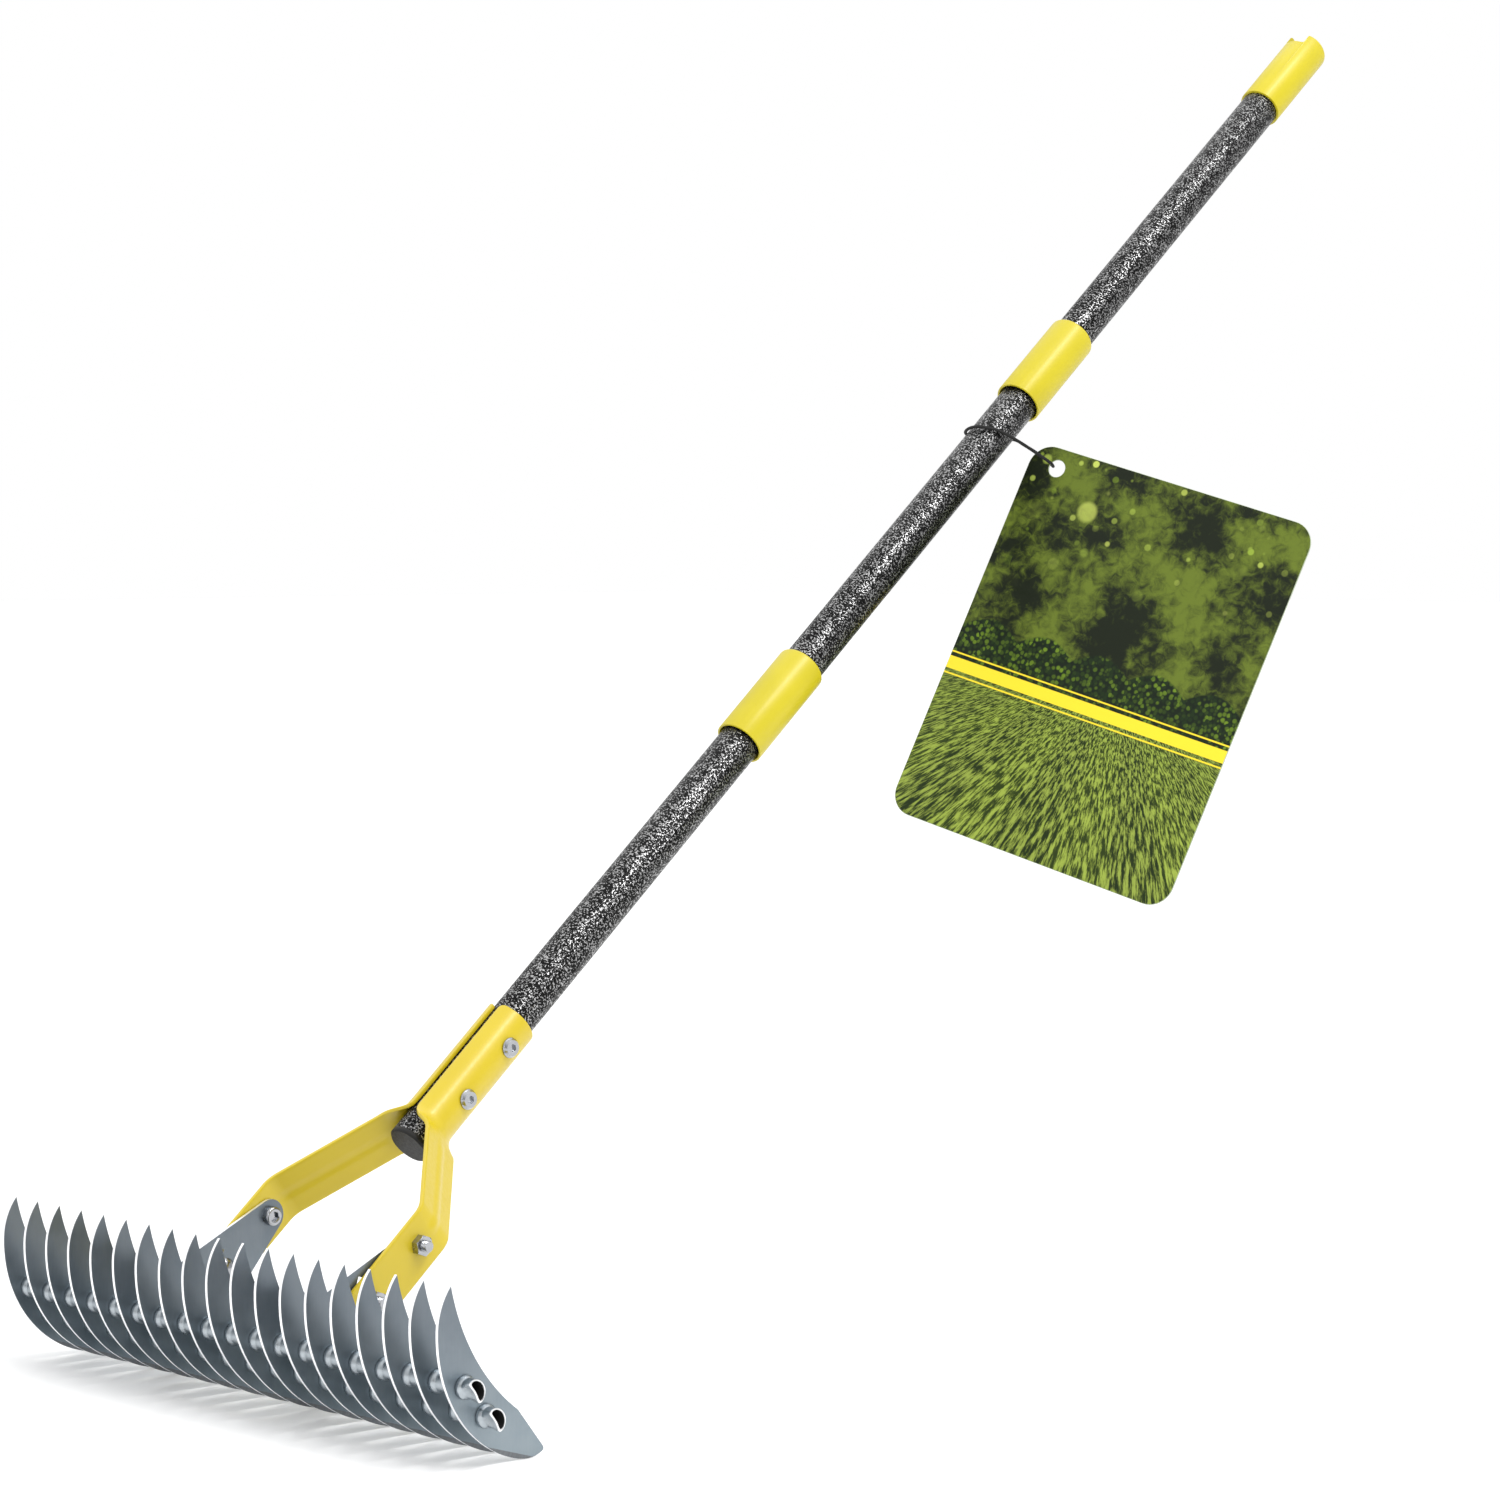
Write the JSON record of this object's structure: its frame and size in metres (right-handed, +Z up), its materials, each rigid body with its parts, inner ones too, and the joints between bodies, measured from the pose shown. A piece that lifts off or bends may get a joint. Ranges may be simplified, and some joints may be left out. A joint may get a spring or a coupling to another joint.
{
  "type": "thatch rake",
  "caption": "Long-handled thatch rake: a row of sickle-shaped steel tines on tie tubes, tilting in a bolted fork at the foot of a screw-together tubular handle with a hang tag.",
  "frame": {"origin": "on the ground under the middle tine, midway along the rake's length from its tine tips to its grip end", "axes": "+X along the head, +Y from the head towards the grip end, +Z up"},
  "size_m": [0.3877, 0.9591, 0.7965],
  "materials": {
    "hammertone_tube": "charcoal hammertone powder coat with silver speckle",
    "black_plastic": "matt moulded",
    "yellow_plastic": "satin moulded",
    "yellow_paint": "glossy powder coat",
    "fastener_zinc": "bright zinc plate",
    "tine_zinc": "dull zinc plate with ground bright edges",
    "tie_tube_zinc": "zinc plate",
    "tag_card": "laminated printed card",
    "tie_cord": "matt black cord"
  },
  "bodies": {
    "handle": {"upper_tube": "hammertone_tube", "middle_tube": "hammertone_tube", "lower_tube": "hammertone_tube", "tube_plug": "black_plastic", "upper_joint_stud": "black_plastic", "upper_joint_socket": "black_plastic", "lower_joint_stud": "black_plastic", "lower_joint_socket": "black_plastic", "end_cap": "yellow_plastic", "upper_collar": "yellow_plastic", "lower_collar": "yellow_plastic", "left_arm": "yellow_paint", "right_arm": "yellow_paint", "upper_clamp_screw": "fastener_zinc", "upper_clamp_sleeve": "fastener_zinc", "lower_clamp_screw": "fastener_zinc", "lower_clamp_sleeve": "fastener_zinc", "left_pivot_bolt": "fastener_zinc", "right_pivot_bolt": "fastener_zinc", "left_pivot_nut": "fastener_zinc", "right_pivot_nut": "fastener_zinc", "left_adjust_bolt": "fastener_zinc", "right_adjust_bolt": "fastener_zinc", "left_adjust_nut": "fastener_zinc", "right_adjust_nut": "fastener_zinc"},
    "head": {"tine_01": "tine_zinc", "tine_02": "tine_zinc", "tine_03": "tine_zinc", "tine_04": "tine_zinc", "tine_05": "tine_zinc", "tine_06": "tine_zinc", "tine_07": "tine_zinc", "tine_08": "tine_zinc", "tine_09": "tine_zinc", "tine_10": "tine_zinc", "tine_11": "tine_zinc", "tine_12": "tine_zinc", "tine_13": "tine_zinc", "tine_14": "tine_zinc", "tine_15": "tine_zinc", "tine_16": "tine_zinc", "tine_17": "tine_zinc", "tine_18": "tine_zinc", "tine_19": "tine_zinc", "front_tie_tube": "tie_tube_zinc", "rear_tie_tube": "tie_tube_zinc"},
    "tag": {"hang_tag": "tag_card", "tag_tie": "tie_cord", "tie_knot": "tie_cord"}
  },
  "joints": [
    {"name": "head_tilt", "type": "hinge", "parent": "handle", "child": "head", "pos_m": [0, -0.39035, 0.08732], "axis": [1, 0, 0], "range_deg": [-15, 15]},
    {"name": "tag_swing", "type": "hinge", "parent": "handle", "child": "tag", "pos_m": [0, -0.39035, 0.08732], "axis": [0, 0.776, 0.6307], "continuous": true}
  ]
}
